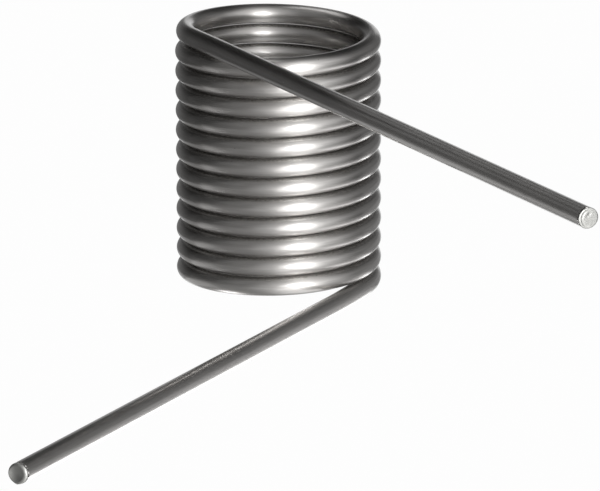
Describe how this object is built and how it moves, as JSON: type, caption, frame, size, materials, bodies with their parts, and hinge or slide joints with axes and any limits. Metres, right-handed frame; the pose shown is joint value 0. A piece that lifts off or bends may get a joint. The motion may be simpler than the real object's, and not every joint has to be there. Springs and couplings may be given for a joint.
{
  "type": "torsion spring",
  "caption": "Right-hand torsion spring of round steel wire: a nearly close-wound coil with long straight legs that cross.",
  "frame": {"origin": "on the coil axis, level with the lowest point of the wire", "axes": "+Z along the coil axis, from the lower leg's end of the coil to the upper leg's; -Y the side on which both legs leave the coil and cross; +X to the side that the upper leg points to"},
  "size_m": [0.0537, 0.0817, 0.0282],
  "materials": {
    "spring_steel": "drawn"
  },
  "bodies": {
    "root": {"torsion_spring": "spring_steel"}
  },
  "joints": []
}
